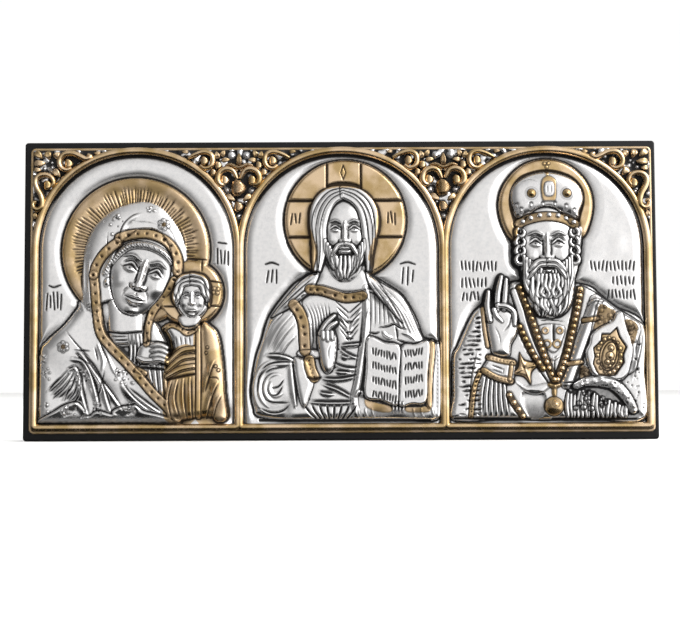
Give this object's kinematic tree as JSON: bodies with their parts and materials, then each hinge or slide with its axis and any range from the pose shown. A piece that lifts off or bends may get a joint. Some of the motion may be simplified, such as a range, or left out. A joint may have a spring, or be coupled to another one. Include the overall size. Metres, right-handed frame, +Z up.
{
  "type": "small three-field metal relief icon on a board",
  "caption": "Upright rectangular board with a pressed silvered and gilt relief plate: round-arched fields with haloed figures between beads and scrolls.",
  "frame": {"origin": "centre of the board's flat underside, on the surface it stands on", "axes": "+X along the long edge, to the viewer's right; +Z up; the relief faces -Y"},
  "size_m": [0.115, 0.0114, 0.0544],
  "materials": {
    "black_lacquer": "black satin lacquer on a smooth wooden board",
    "silvered_plate": "bright silvered pressed relief with black patina in its recesses",
    "gilt_plate": "old gold wash on the pressed relief with dark brown patina in its recesses"
  },
  "bodies": {
    "root": {"backing_board": "black_lacquer", "icon_plate": "silvered_plate"}
  },
  "joints": []
}
